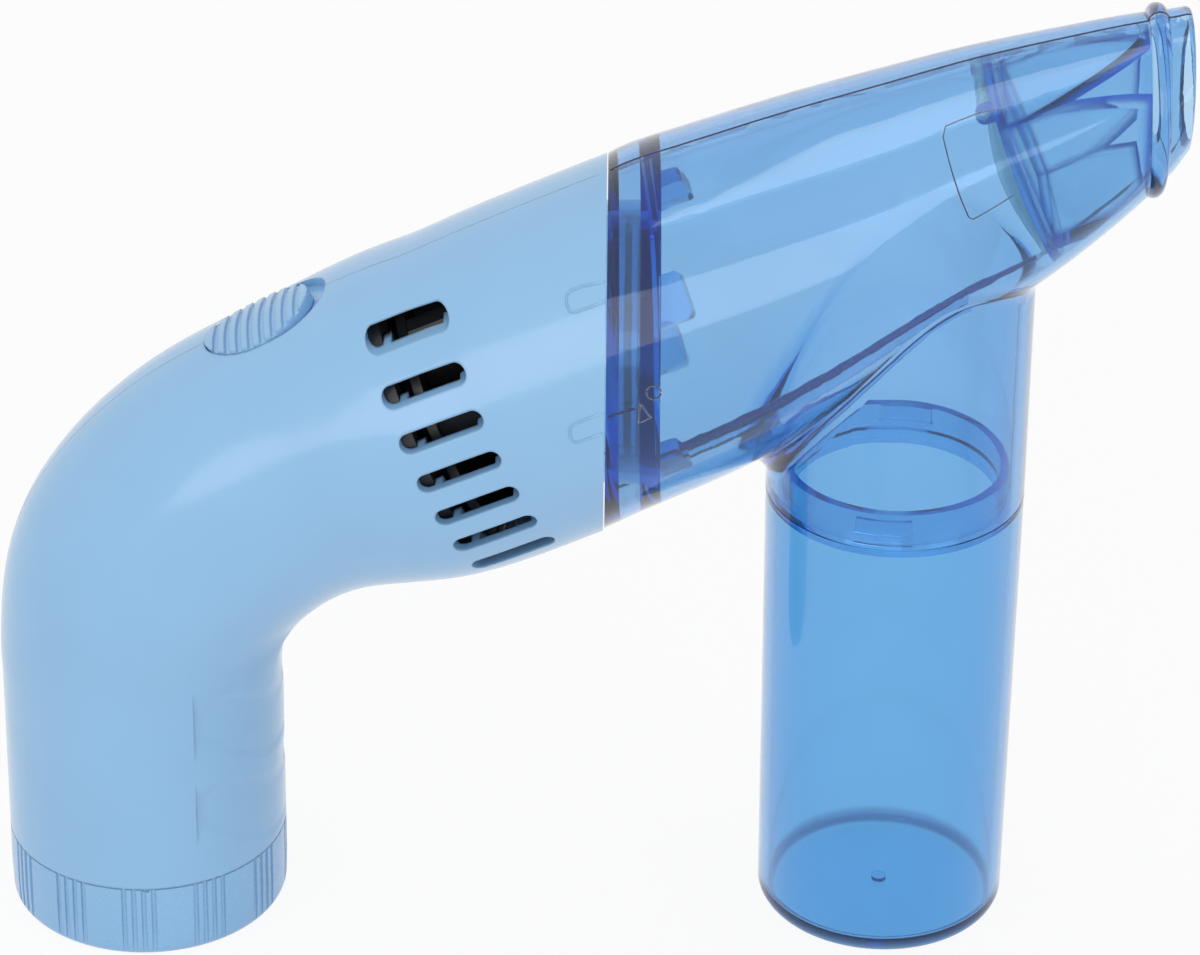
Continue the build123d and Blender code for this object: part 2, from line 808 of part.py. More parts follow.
def nozzle_form(inset=0.0):
    """Tapering nozzle as one closed form from the joint to the mouth, made smaller by inset."""
    half_height = body_radius / math.cos(slope)
    sections = [station_plane(face_gap / 2, 0) * Ellipse(body_radius - inset, half_height - inset)]
    for reach, rise, high, wide in nozzle_stations:
        sections.append(station_plane(reach, rise) * Ellipse(wide - inset, high - inset))
    return loft([section.face() for section in sections])


def slab(low_reach, high_reach):
    """Upright slab between two distances ahead of the joint."""
    return box_between((joint_x + low_reach, -far, -far), (joint_x + high_reach, far, far))


def duct_plane():
    """Plane of the duct's inner end: local X across, local Y up the leaning face, local Z inward."""
    lean = math.radians(duct_lean)
    return Plane(
        origin=(joint_x + duct_reach, 0, joint_z + duct_top_rise),
        x_dir=(0, -1, 0),
        z_dir=(-math.cos(lean), 0, -math.sin(lean)),
    )


def duct_profile(inset):
    """Side outline of the duct funnel, made smaller by inset above and below."""
    lean = math.tan(math.radians(duct_lean))
    top = joint_z + duct_top_rise - inset
    low = joint_z + duct_bottom_rise + inset
    back_top = joint_x + duct_reach
    back_low = back_top + (top - low) * lean
    front = joint_x + duct_front_reach
    over = 12.0 if inset else 0.0
    rise = (duct_front_top - duct_top_rise) / (duct_front_reach - duct_reach)
    fall = (duct_front_bottom - duct_bottom_rise) / (front - back_low)
    return make_face(Plane.XZ * Polyline(
        (back_top - over, top - over * rise),
        (front + over, joint_z + duct_front_top - inset + over * rise),
        (front + over, joint_z + duct_front_bottom + inset + over * fall),
        (back_low - over, low - over * fall), (back_top - over, top - over * rise),
    ))


def make_inlet_duct():
    """Funnel of four flat walls inside the mouth, on a leaning bulkhead with ears for the flap."""
    inside = nozzle_form(nozzle_wall + running_gap)
    funnel = extrude(duct_profile(0), duct_half_width, both=True)
    funnel &= box_between((joint_x + duct_reach - 5, -far, -far), (joint_x + duct_front_reach, far, far))
    passage = extrude(duct_profile(duct_wall), duct_half_width - duct_wall, both=True)
    board = duct_plane() * Pos(0, 0, -bulkhead / 2) * Box(far, far, bulkhead)
    duct = funnel + board
    for side in (-1, 1):
        place = side * (flap_hinge_half + running_gap + ear_thickness / 2)
        foot = Pos(place, flap_axis, flap_rise / 2 - 0.2) * Box(ear_thickness, 3.0, flap_rise + 0.4)
        tip = Pos(place, flap_axis, flap_rise) * Rot(0, 90, 0) * Cylinder(1.5, ear_thickness)
        hole = Pos(place, flap_axis, flap_rise) * Rot(0, 90, 0) * Cylinder(pin_radius + running_gap, 4)
        duct += duct_plane() * (foot + tip)
        duct -= duct_plane() * hole
    return (duct & inside) - passage


def make_flap():
    """Leaf that closes the duct from inside, hung on two stub pins."""
    lean = math.radians(duct_lean)
    height = (duct_top_rise - duct_bottom_rise) / math.cos(lean)
    leaf = box_between(
        (-duct_half_width - flap_overlap, -height - flap_overlap, face_gap),
        (duct_half_width + flap_overlap, flap_axis - 1.7, face_gap + flap_thickness),
    )
    leaf = fillet(leaf.edges().filter_by(Axis.Z), 2.5)
    tongue = box_between(
        (-flap_hinge_half, -2, face_gap), (flap_hinge_half, flap_axis, face_gap + flap_thickness)
    )
    at_axis = Pos(0, flap_axis, flap_rise) * Rot(0, 90, 0)
    barrel = at_axis * Cylinder(pin_radius + 0.3, 2 * flap_hinge_half)
    pins = at_axis * Cylinder(pin_radius, 2 * (flap_hinge_half + ear_thickness))
    return duct_plane() * (leaf + tongue + barrel + pins)


def keel():
    """Straight rib along the bottom seam, left standing where the collar opens the floor."""
    band = nozzle_form(nozzle_wall * 0.6) - nozzle_form(nozzle_wall + keel_height)
    low = box_between((joint_x + rear_plate, -keel_width, -far), (joint_x + keel_end, 0, joint_z + 20))
    return band & low


def bottle_ledge_z():
    """Height of the foot of the collar's ledges."""
    return bottle_height + face_gap / 2 + 0.4


def filter_stop(seat_end, direction):
    """Stop block on the filter seat, running forward along the body's slope."""
    block = Pos(0, 0, stop_length / 2) * Box(stop_depth, stop_width, stop_length)
    block = fillet(block.faces().sort_by(Axis.Z)[-1].edges().filter_by(Axis.X), 1.2)
    start = body_point((joint_x + seat_end - 1.5) / math.cos(slope))
    side = stop_radius * math.cos(math.radians(direction))
    rise = stop_radius * math.sin(math.radians(direction))
    place = Plane(
        origin=(start.X, side, start.Z + rise), x_dir=(0, 1, 0), z_dir=(math.cos(slope), 0, math.sin(slope))
    )
    return place * Rot(0, 0, direction) * block & slab(seat_end - filter_lip_length / 2, far)


def make_nozzle():
    """Nozzle with its collar as one pair, parted later on Y = 0."""
    outer = nozzle_form()
    outer = fillet(outer.edges().sort_by(Axis.X)[-1], mouth_edge)
    inner = nozzle_form(nozzle_wall)
    mid = nozzle_form(nozzle_wall / 2)
    collar_foot = bottle_height + face_gap / 2
    collar_height = collar_top_z - collar_foot
    body = outer + Pos(collar_x, 0, collar_foot) * extrude(Circle(collar_radius), collar_height)
    crease = []
    for edge in body.edges():
        bounds = edge.bounding_box()
        if bounds.min.Z > collar_foot + 1 and bounds.size.X < 2.1 * collar_radius < edge.length / 2:
            crease.append(edge)
    body = fillet(crease, collar_fillet)
    bead = Pos(joint_x + bead_reach, 0, joint_z + bead_rise) * Rot(0, 90, 0) * Torus(bead_major, bead_minor)
    body += bead
    body -= inner
    well = extrude(Circle(collar_radius - nozzle_wall), collar_height + 1)
    body -= Pos(collar_x, 0, collar_foot - 1) * well

    # Back plate, spigot tube and the seat of the filter
    seat_end = filter_seat + filter_seat_length
    body += mid & slab(face_gap / 2, rear_plate)
    body += mid & slab(filter_seat, seat_end)
    tube_start = -front_wall - nozzle_lug_length - seat_gap
    tube = turn_frame(joint_x + tube_start) * extrude(Circle(spigot_radius), filter_seat - tube_start + 0.5)
    body += tube
    bore = turn_frame(joint_x + tube_start - 1) * extrude(
        Circle(spigot_radius - spigot_wall), seat_end - filter_lip_length - tube_start + 1
    )
    body -= bore
    body -= turn_frame(joint_x + filter_seat) * extrude(
        Circle(spigot_radius - spigot_wall - filter_seat_lip), filter_seat_length + 1
    )
    for middle in nozzle_lug_middles():
        lug = sector(
            spigot_radius + nozzle_lug_reach, spigot_radius - spigot_wall,
            nozzle_lug_length, lug_angle, middle,
        )
        body += turn_frame(joint_x + tube_start) * lug

    # Stops ahead of the filter seat, the keel and the ledges for the bottle's lugs
    for angle in stop_angles:
        for direction in (angle, 180 - angle):
            body += filter_stop(seat_end, direction)
    body += keel()
    for step in range(bottle_lugs):
        ledge = sector(
            collar_radius - nozzle_wall / 2, bottle_neck_radius + running_gap, 1.3,
            bottle_lug_angle + 2, 360 * step / bottle_lugs - 98,
        )
        body += Pos(collar_x, 0, bottle_ledge_z()) * ledge
    return body


def make_filter_frame():
    """Cup that slips into the spigot tube and carries the filter pad."""
    outer = spigot_radius - spigot_wall - running_gap
    end = filter_seat + filter_seat_length - filter_lip_length - seat_gap
    start = end - filter_length
    frame = ring(outer, outer - filter_rim, filter_length)
    for step in range(filter_spokes):
        bar = Rot(0, 0, 180 * step / filter_spokes) * Box(2 * (outer - filter_rim / 2), spoke_width, 1.2)
        frame += Pos(0, 0, filter_length - filter_pad - 1.2 - 0.4) * bar
    hub = Pos(0, 0, filter_length - filter_pad - 2.2) * extrude(Circle(3.0), 1.2)
    return turn_frame(joint_x + start) * (frame + hub)


def make_filter_pad():
    """Round pad of filter felt behind the frame's lip."""
    outer = spigot_radius - spigot_wall - running_gap - filter_rim
    end = filter_seat + filter_seat_length - filter_lip_length - seat_gap
    return turn_frame(joint_x + end - filter_pad) * extrude(Circle(outer - seat_gap), filter_pad)


def make_bottle():
    """Round bottle with a drawn-in neck, two lugs and a sprue nub in the floor."""
    top = bottle_height - face_gap / 2
    outer = make_face(Polyline(
        (0, 0), (bottle_foot_radius, 0), (collar_radius, top), (0, top), (0, 0)
    ))
    body = revolve(Plane.XZ * outer, Axis.Z)
    body = fillet(body.edges().sort_by(Axis.Z)[0], bottle_edge)
    body += Pos(0, 0, top - 0.5) * extrude(Circle(bottle_neck_radius), bottle_neck_height + 0.5)
    floor = bottle_wall + 0.4
    hollow_top = top - 2.0
    hollow = make_face(Polyline(
        (0, floor), (bottle_foot_radius - bottle_wall, floor), (collar_radius - bottle_wall, hollow_top),
        (0, hollow_top), (0, floor),
    ))
    cut = revolve(Plane.XZ * hollow, Axis.Z)
    cut = fillet(cut.edges().sort_by(Axis.Z)[0], bottle_edge - bottle_wall * 0.6)
    body -= cut
    body -= Pos(0, 0, hollow_top - 1) * extrude(Circle(bottle_neck_radius - 1.5), bottle_neck_height + 8)
    body += Pos(0, 0, floor - 0.1) * extrude(Circle(bottle_nub_radius), 0.8)
    lug_z = bottle_ledge_z() + 1.3 + seat_gap
    for step in range(bottle_lugs):
        lug = sector(
            bottle_neck_radius + bottle_lug_reach, bottle_neck_radius - 0.6, bottle_lug_height,
            bottle_lug_angle, 360 * step / bottle_lugs - 98,
        )
        body += Pos(0, 0, lug_z) * lug
    return Pos(collar_x, 0, 0) * body


def halves(whole, name, parts):
    """Part a whole on Y = 0 into its left and right halves."""
    for side, word in ((1, "left"), (-1, "right")):
        parts[name + "_" + word] = whole & half_space(side)


def build_parts():
    """All sub-parts by node name."""
    parts = {}
    halves(make_casing(), "casing", parts)
    parts["casing_screws"] = make_screws()
    parts["battery_holder"] = make_battery_holder()
    for number, (x, y) in enumerate(cell_places(), 1):
        parts["battery_cell_" + str(number)] = make_cell(x, y)
    parts["top_contacts"] = make_top_contacts()
    parts["contact_disc"] = make_contact_disc()
    parts["bridge_contacts"] = make_bridge_contacts()
    parts["battery_cap"] = make_battery_cap()
    parts["switch_body"] = make_switch_body()
    parts["switch_lever"] = make_switch_lever()
    parts["switch_slider"] = make_slider()
    parts["motor_can"] = make_motor_can()
    parts["motor_end_bell"] = make_motor_bell()
    parts["motor_mount"] = make_motor_mount()
    parts["motor_screws"] = make_motor_screws()
    parts["motor_shaft"] = make_shaft()
    parts["fan"] = make_fan()
    parts["fan_cover"] = make_fan_cover()
    halves(make_nozzle(), "nozzle", parts)
    parts["filter_frame"] = make_filter_frame()
    parts["filter_pad"] = make_filter_pad()
    parts["inlet_duct"] = make_inlet_duct()
    parts["flap"] = make_flap()
    parts["bottle"] = make_bottle()
    return parts


os.makedirs("parts", exist_ok=True)
for node, shape in build_parts().items():
    solids = []
    for item in shape if isinstance(shape, list) else [shape]:
        solids += item.solids()
    export_step(Compound(children=solids) if len(solids) > 1 else solids[0], "parts/" + node + ".step")
    print(node, len(solids), "solids")
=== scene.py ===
import json
import math

import bpy
from mathutils import Matrix, Vector
from mathutils.bvhtree import BVHTree

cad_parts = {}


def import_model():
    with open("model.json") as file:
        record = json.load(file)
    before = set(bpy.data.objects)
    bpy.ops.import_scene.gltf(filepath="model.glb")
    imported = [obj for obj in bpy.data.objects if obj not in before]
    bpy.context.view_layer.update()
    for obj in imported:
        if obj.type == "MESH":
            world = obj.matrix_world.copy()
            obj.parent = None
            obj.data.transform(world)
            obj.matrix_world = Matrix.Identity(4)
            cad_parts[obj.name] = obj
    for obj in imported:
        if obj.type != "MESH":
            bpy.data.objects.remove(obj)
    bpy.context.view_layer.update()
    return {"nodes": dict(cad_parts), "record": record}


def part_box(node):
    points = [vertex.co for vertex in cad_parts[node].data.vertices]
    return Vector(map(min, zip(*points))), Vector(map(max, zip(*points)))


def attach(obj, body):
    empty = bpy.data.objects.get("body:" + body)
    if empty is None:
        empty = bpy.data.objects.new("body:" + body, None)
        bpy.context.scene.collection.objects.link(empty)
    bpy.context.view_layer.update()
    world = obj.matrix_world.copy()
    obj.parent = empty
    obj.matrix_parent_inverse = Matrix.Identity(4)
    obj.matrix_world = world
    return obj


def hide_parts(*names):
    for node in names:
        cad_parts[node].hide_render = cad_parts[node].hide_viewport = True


# Handheld vacuum cleaner: materials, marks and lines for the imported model, lamps, floor and camera.

MM = 0.001

# The photograph's camera: place in metres, angles in degrees, lens and view centre in pixels
IMAGE_WIDTH = 1200
IMAGE_HEIGHT = 955
CAMERA_PLACE = (0.0778, -0.8314, 0.5795)
CAMERA_PITCH = 30.71
CAMERA_YAW = 0.024
CAMERA_ROLL = 0.619
FOCAL_PIXELS = 5751.2
VIEW_CENTRE_PX = (596.2, 463.6)
SENSOR = 36.0
CLIP_START = 0.05

# Lamps: place, target and size in metres, and power in watts
LAMPS = {
    "key": ((-0.35, -1.15, 0.65), (0.06, 0, 0.10), (1.2, 0.7), 4.5),
    "fill": ((0.95, -0.75, 0.55), (0.08, 0, 0.08), (0.5, 0.8), 1.6),
    "top": ((-0.20, 0.10, 1.15), (0.10, 0, 0.1), (0.5, 0.4), 1.4),
}

# Floor and room; the floor's share of plain white is for camera, gloss and glass rays
FLOOR_HALF = 4.0
FLOOR_DROP = 0.0002
FLOOR_GREY = (0.85, 0.85, 0.85)
FLOOR_WHITE = 0.92
ROOM_COLOUR = (0.93, 0.96, 1.0)
ROOM_STRENGTH = 0.62
WHITE = (1.0, 1.0, 1.0)

# Colours as linear RGB
SKY_BLUE = (0.302, 0.553, 0.825)
CAP_BLUE = (0.290, 0.540, 0.815)
BLACK = (0.010, 0.010, 0.012)
HAZE_BLUE = (0.04, 0.32, 0.90)
# LINE_BLUE colours the seam and step lines, and the painted shade line along the pad's left edge
LINE_BLUE = (0.012, 0.022, 0.10)
KEEL_BLUE = (0.030, 0.050, 0.32)
LEAF_GREEN = (0.68, 0.98, 0.92)
FELT_DARK = (0.42, 0.17, 0.19)
FELT_LIGHT = (0.66, 0.30, 0.32)

# Moulded plastics and metals: colour, lowest and highest roughness, and what differs from the usual
MOULDED = {
    "casing_blue": (SKY_BLUE, (0.14, 0.22),
                    {"coat": 0.15, "variation": 0.02, "edge": 0.0007, "is_casing": True}),
    "cap_blue": (CAP_BLUE, (0.22, 0.32), {"coat": 0.2, "variation": 0.02, "edge": 0.0004}),
    "slider_blue": (SKY_BLUE, (0.20, 0.30), {"coat": 0.2, "variation": 0.03, "edge": 0.0005}),
    "screw_steel": ((0.55, 0.56, 0.58), (0.22, 0.38), {"metal": 1.0}),
    "black_plastic": (BLACK, (0.35, 0.5), {"grain": 1200.0}),
    "fan_black": ((0.018, 0.018, 0.020), (0.30, 0.45), {"grain": 1200.0}),
    "cell_wrap": ((0.50, 0.51, 0.54), (0.20, 0.32), {"metal": 0.8}),
    "contact_brass": ((0.72, 0.55, 0.24), (0.20, 0.35), {"metal": 1.0}),
    "lever_white": ((0.70, 0.70, 0.68), (0.35, 0.5), {}),
    "motor_steel": ((0.45, 0.46, 0.48), (0.25, 0.40), {"metal": 1.0}),
    "bell_plastic": ((0.60, 0.57, 0.48), (0.40, 0.55), {}),
    "shaft_steel": ((0.60, 0.61, 0.63), (0.15, 0.25), {"metal": 1.0}),
    "line": (LINE_BLUE, (0.2, 0.35), {}),
    "keel": (KEEL_BLUE, (0.2, 0.35), {}),
}
MOULD_COAT_ROUGHNESS = 0.04
USUAL_VARIATION = 0.05
BEVEL_SAMPLES = 6

# Noise, here and below: features per metre, detail, and its own roughness where it isn't the usual
MOULD_PATCH = (45.0, 2.0)
MOULD_GLOSS = (260.0, 4.0, 0.6)
PEEL_SCALE = 700.0
PEEL_DETAIL = 2.0
PEEL_HEIGHT = 0.00002

# Clear plastics: share of red, green and blue light left by a face, and by one millimetre behind it
CLEAR = {
    "nozzle_clear": ((0.80, 0.90, 0.965), (0.77, 0.888, 0.972), {}),
    "duct_clear": ((1.0, 1.0, 1.0), (0.90, 0.965, 0.999), {"coat": 0.0, "haze_share": 0.0, "painted_edge_light": True}),
    "filter_frame_blue": ((0.86, 0.92, 0.98), (0.82, 0.90, 0.975), {"rough": 0.05}),
    "bottle_clear": ((0.74, 0.885, 0.965), (0.70, 0.865, 0.964), {"footed": True}),
}
HAZE_SHARE = 0.03
CLEAR_IOR = 1.31
CLEAR_COAT = 0.6
CLEAR_COAT_ROUGHNESS = 0.03
CLEAR_ROUGH = 0.02
ROUGH_SPAN = 0.03
CLEAR_PATCH = (60.0, 2.0)
CLEAR_SPAN = (0.985, 1.01)
CLEAR_GLOSS = (120.0, 3.0)
CLEAR_WAVE = (90.0, 1.0)
CLEAR_WAVE_HEIGHT = 0.00003
DENSITY_MARGIN = 1.05

# Felt of the filter pad
FELT_FIBRE = (1500.0, 6.0, 0.7)
FELT_HEIGHT = 0.0003
FELT_ROUGHNESS = 0.95
FELT_SHEEN = 0.4

# Thin sheet of the leaf
SHEET_PATCH = (160.0, 3.0)
SHEET_SPAN = (0.94, 1.05)
SHEET_GLOSS = (300.0, 3.0)
SHEET_ROUGH = (0.30, 0.45)
SHEET_GRAIN = (400.0, 3.0)
SHEET_GRAIN_HEIGHT = 0.00003
SHEET_TRANSMISSION = 0.75
SHEET_IOR = 1.2
SHEET_ALPHA = 0.55

# Painted light on the edges of the duct, a deeper blue where light gathers in the plastic: reach in metres, and
# the cosines at which it fades
PAINTED_EDGE_BLUE = (0.05, 0.22, 0.85)
EDGE_REACH = 0.0024
EDGE_SHARE = 0.75
EDGE_FADE = (0.76, 0.975)

# Painted shade darkens the bottle's floor disc, and painted light makes its foot rim a lighter soft blue; places
# in metres
FLOOR_DISC_SHADE = (0.72, 0.90, 0.962)
FLOOR_FADE = (0.0172, 0.0192)
FLOOR_LEVEL = (0.0028, 0.0034)
RIM_LIGHT_BLUE = (0.28, 0.54, 0.87)
RIM_SHARE = 0.65
RIM_FADE = (0.0186, 0.0198)
RIM_LEVEL = (0.0012, 0.0036)

# Finger hollows on the handle: ends of their middle lines over X and Z, and their soft rim, in millimetres
HOLLOWS = (((15.0, 45.6), (24.0, 37.5)), ((14.8, 28.6), (24.0, 20.5)))
HOLLOW_INNER = 3.4
HOLLOW_OUTER = 5.4
HOLLOW_DEPTH = 0.00025

# Where the grip's own round normal takes over, along Z, X and beside the seam, in metres
GRIP_LOW = (0.0145, 0.0165)
GRIP_HIGH = (0.054, 0.060)
GRIP_SIDE = (0.004, 0.009)
SEAM_FADE = (0.004, 0.007)

# Painted shade on the inside of the casing round the vents, which no light reaches, in metres along and out from
# the body's axis
BODY_AXIS_Z = 0.0743
BODY_SLOPE = 24.0
DARK_START = (0.0500, 0.0515)
DARK_END = (0.0700, 0.0715)
DARK_RADIUS = (0.0246, 0.0254)
PAINTED_INSIDE_SHADE = (0.012, 0.016, 0.022)

# Edges of the casing beside the joint with the nozzle are sharper than elsewhere; places along X in metres
JOINT_SHARP = (0.0766, 0.0776)
JOINT_EDGE_SHARE = 0.2

# Marks on the near side, as paths over X and Z in millimetres
OPEN_FRAME = ((78.5, 131.9), (75.3, 130.9), (73.0, 129.9), (72.4, 129.2), (72.4, 128.2), (72.9, 127.3),
              (73.7, 127.3), (75.9, 128.2), (78.5, 129.4))
LOCK_FRAME = ((78.4, 112.3), (75.6, 111.1), (73.7, 110.2), (73.1, 109.4), (73.2, 107.9), (73.7, 107.0),
              (74.4, 106.9), (76.1, 107.6), (78.4, 108.6))
STEP_LINE = ((79.3, 111.7), (83.6, 113.3))
POINTER = ((84.4, 114.4), (86.2, 111.7), (84.3, 110.7), (84.4, 114.4))
DOT_CENTRE = (86.6, 116.3)
DOT_RADIUS = 1.2
DOT_SIDES = 24
PAD_FRAME = ((141.4, 159.6), (138.0, 158.8), (134.7, 157.6), (132.7, 156.8), (132.3, 155.6), (133.6, 151.8),
             (135.1, 148.0), (136.5, 145.0), (137.2, 144.6), (139.0, 145.5), (141.5, 146.9), (143.5, 148.1))
# The pad's left edge, where a dark line of painted shade is laid
PAD_SHADE_PATH = ((132.3, 155.6), (133.6, 151.8), (135.1, 148.0), (136.5, 145.0))
TOP_SEAM = (79.2, 177.2, -0.06)

# Steps along a mark's path in millimetres, and where the rays that lay it start beside and over it, in metres
SIDE_STEP = 0.4
TOP_STEP = 0.5
RAY_SIDE = -0.1
RAY_TOP = 0.3

# Ridges: width and height in millimetres
FRAME_RIDGE = (0.5, 0.22)
SEAM_RIDGE = (0.42, 0.12)
STEP_RIDGE = (0.4, 0.1)
SIGN_RIDGE = (0.3, 0.15)
PAD_RIDGE = (0.22, 0.05)
PAD_SHADE_RIDGE = (0.14, 0.08)
RIDGE_SINK = 0.12
RIDGE_SIDES = 6

# Line on the keel, as places along X with its rise over the keel and its foot's far end, in millimetres
KEEL_START = 87.6
KEEL_LINE = ((94.0, 1.6), (100.5, 1.6), (108.0, 1.5), (116.0, 1.3), (122.0, 1.1), (128.0, 0.95), (133.0, 0.8),
             (138.4, 0.7))
KEEL_TIP = (149.6, 126.2)
KEEL_TIP_HALF = 0.2
KEEL_TIP_STEPS = 4
KEEL_SIDE = (-1.45, -0.15)
KEEL_SINK = 0.25
KEEL_SOFT = 0.25
KEEL_SOFT_SHARE = 1 / 3

# Line over the keel from which rays drop to find its top: place across, height at X 0 and slope, in metres
KEEL_RAY_SIDE = -0.0008
KEEL_RAY_BASE = 0.055
KEEL_RAY_SLOPE = 0.6

# The flap's leaf, in the plane of the duct's leaning inner end, in millimetres
DUCT_ORIGIN = (141.4, 0.0, 155.684)
DUCT_LEAN = 22.5
LEAF_HALF = 12.9
LEAF_TOP = -0.1
LEAF_FOOT = -24.39
LEAF_GAP = 0.2
LEAF_THICKNESS = 0.8
LEAF_BULGE = 2.9
LEAF_CORNER = 2.5
LEAF_FLATNESS = 4
LEAF_FULLNESS = 0.7
LEAF_MESH = (28, 24)
TONGUE_HALF = 7.6
TONGUE_LAP = 0.8
TONGUE_MESH = (12, 4)
PIN_PLACE = (1.6, 1.6)
PIN_RADIUS = 0.9
BARREL_RADIUS = 1.2
PIN_REACH = 9.0
PIN_CHAMFER = 0.15
PIN_SIDES = 20


def camera():
    """Camera at the photograph's place and angle."""
    data = bpy.data.cameras.new("camera")
    data.sensor_width = SENSOR
    data.lens = FOCAL_PIXELS / IMAGE_WIDTH * SENSOR
    data.shift_x = (IMAGE_WIDTH / 2 - VIEW_CENTRE_PX[0]) / IMAGE_WIDTH
    data.shift_y = (VIEW_CENTRE_PX[1] - IMAGE_HEIGHT / 2) / IMAGE_WIDTH
    data.clip_start = CLIP_START
    item = bpy.data.objects.new("camera", data)
    bpy.context.collection.objects.link(item)
    turn = Matrix.Rotation(math.radians(CAMERA_YAW), 4, "Z")
    tilt = Matrix.Rotation(math.radians(90 - CAMERA_PITCH), 4, "X")
    roll = Matrix.Rotation(math.radians(CAMERA_ROLL), 4, "Z")
    item.matrix_world = Matrix.Translation(CAMERA_PLACE) @ turn @ tilt @ roll
    bpy.context.scene.camera = item


def area_lamp(name, place, target, size, power):
    """Rectangular white lamp at a place, turned to a target."""
    data = bpy.data.lights.new(name, "AREA")
    data.shape = "RECTANGLE"
    data.size, data.size_y = size
    data.energy = power
    item = bpy.data.objects.new(name, data)
    bpy.context.collection.objects.link(item)
    item.location = place
    item.rotation_euler = (Vector(target) - Vector(place)).to_track_quat("-Z", "Y").to_euler()


class Nodes:
    """Builder of a node tree, in which every input takes a socket or a plain value."""

    def __init__(self, tree):
        self.tree = tree
        tree.nodes.clear()

    def put(self, value, socket):
        """Join a socket to an input, or set the input to a plain value."""
        if isinstance(value, bpy.types.NodeSocket):
            self.tree.links.new(value, socket)
        else:
            socket.default_value = value

    def add(self, kind, inputs=None, **settings):
        """Add a node with its settings, and its inputs by name or number."""
        node = self.tree.nodes.new(kind)
        for key, value in settings.items():
            setattr(node, key, value)
        for key, value in (inputs or {}).items():
            self.put(value, node.inputs[key])
        return node

    def math(self, operation, first, second=0.0):
        """Result of a sum of two numbers."""
        return self.add("ShaderNodeMath", {0: first, 1: second}, operation=operation).outputs[0]

    def product(self, first, *others):
        """Product of two or more numbers."""
        for other in others:
            first = self.math("MULTIPLY", first, other)
        return first

    def reach(self, first, second):
        """Length of the side across from a right angle between two lengths."""
        square = self.math("ADD", self.math("MULTIPLY", first, first), self.math("MULTIPLY", second, second))
        return self.math("SQRT", square)

    def vector(self, operation, first, second, result=0):
        """Result of a sum of two vectors."""
        node = self.add("ShaderNodeVectorMath", {0: first, 1: second}, operation=operation)
        return node.outputs[result]

    def mix(self, kind, factor, first, second, **settings):
        """Mix of two colours or vectors."""
        node = self.add("ShaderNodeMix", data_type=kind, **settings)
        sockets = [socket for socket in node.inputs if socket.enabled]
        for value, socket in zip((factor, first, second), sockets):
            self.put(value, socket)
        return next(socket for socket in node.outputs if socket.enabled)

    def mix_shader(self, factor, first, second):
        """Mix of two shaders."""
        return self.add("ShaderNodeMixShader", {0: factor, 1: first, 2: second}).outputs[0]

    def place(self):
        """The three parts of a point's place in the object's own space."""
        whole = self.add("ShaderNodeTexCoord").outputs["Object"]
        return self.add("ShaderNodeSeparateXYZ", {0: whole}).outputs[:]


def rgba(colour):
    """Colour with full alpha."""
    return (*colour, 1)


def shade(colour, share):
    """Colour made lighter or darker by a share."""
    return tuple(min(1.0, channel * share) for channel in colour)


def new_material(name):
    """Material with an empty node tree and its builder."""
    material = bpy.data.materials.new(name)
    material.use_nodes = True
    return material, Nodes(material.node_tree)


def noise(build, scale, detail, rough=0.5):
    """Noise over the object's own space, in features per metre."""
    whole = build.add("ShaderNodeTexCoord").outputs["Object"]
    texture = build.add("ShaderNodeTexNoise", {
        "Vector": whole, "Scale": scale, "Detail": detail, "Roughness": rough})
    return texture.outputs["Fac"]


def spread(build, value, low, high, start=0.3, end=0.7):
    """Map a value from start to end, the usual span of a noise, to the range from low to high."""
    node = build.add("ShaderNodeMapRange", {
        "Value": value, "From Min": start, "From Max": end, "To Min": low, "To Max": high})
    return node.outputs["Result"]


def tint(build, value, dark, light):
    """Mix two plain colours by a value from 0 to 1."""
    return build.mix("RGBA", value, rgba(dark), rgba(light))


def mottled(build, patch, colour, low, high):
    """Colour in soft patches of a noise, from its low to its high share."""
    share = spread(build, noise(build, *patch), 0.0, 1.0)
    return tint(build, share, shade(colour, low), shade(colour, high))


def bump(build, value, height, under=None):
    """Normal from a value's bump, with its full height in metres, over another normal."""
    inputs = {"Strength": 1.0, "Distance": height, "Height": value}
    if under:
        inputs["Normal"] = under
    return build.add("ShaderNodeBump", inputs).outputs["Normal"]


def hollow_height(build):
    """Height from 0 in the two finger hollows to 1 outside them."""
    x, _, z = build.place()
    flat = build.add("ShaderNodeCombineXYZ", {
        "X": build.math("MULTIPLY", x, 1 / MM), "Y": build.math("MULTIPLY", z, 1 / MM)}).outputs[0]
    heights = []
    for start, end in HOLLOWS:
        run = (end[0] - start[0], end[1] - start[1], 0.0)
        offset = build.vector("SUBTRACT", flat, (*start, 0.0))
        along = build.vector("DOT_PRODUCT", offset, run, "Value")
        share = spread(build, along, 0.0, 1.0, 0.0, run[0] ** 2 + run[1] ** 2)
        reached = build.add("ShaderNodeVectorMath", {0: run, "Scale": share}, operation="SCALE").outputs[0]
        gap = build.vector("DISTANCE", offset, reached, "Value")
        rim = build.add("ShaderNodeMapRange", {
            "Value": gap, "From Min": HOLLOW_INNER, "From Max": HOLLOW_OUTER}, interpolation_type="SMOOTHSTEP")
        heights.append(rim.outputs["Result"])
    return build.math("MINIMUM", *heights)


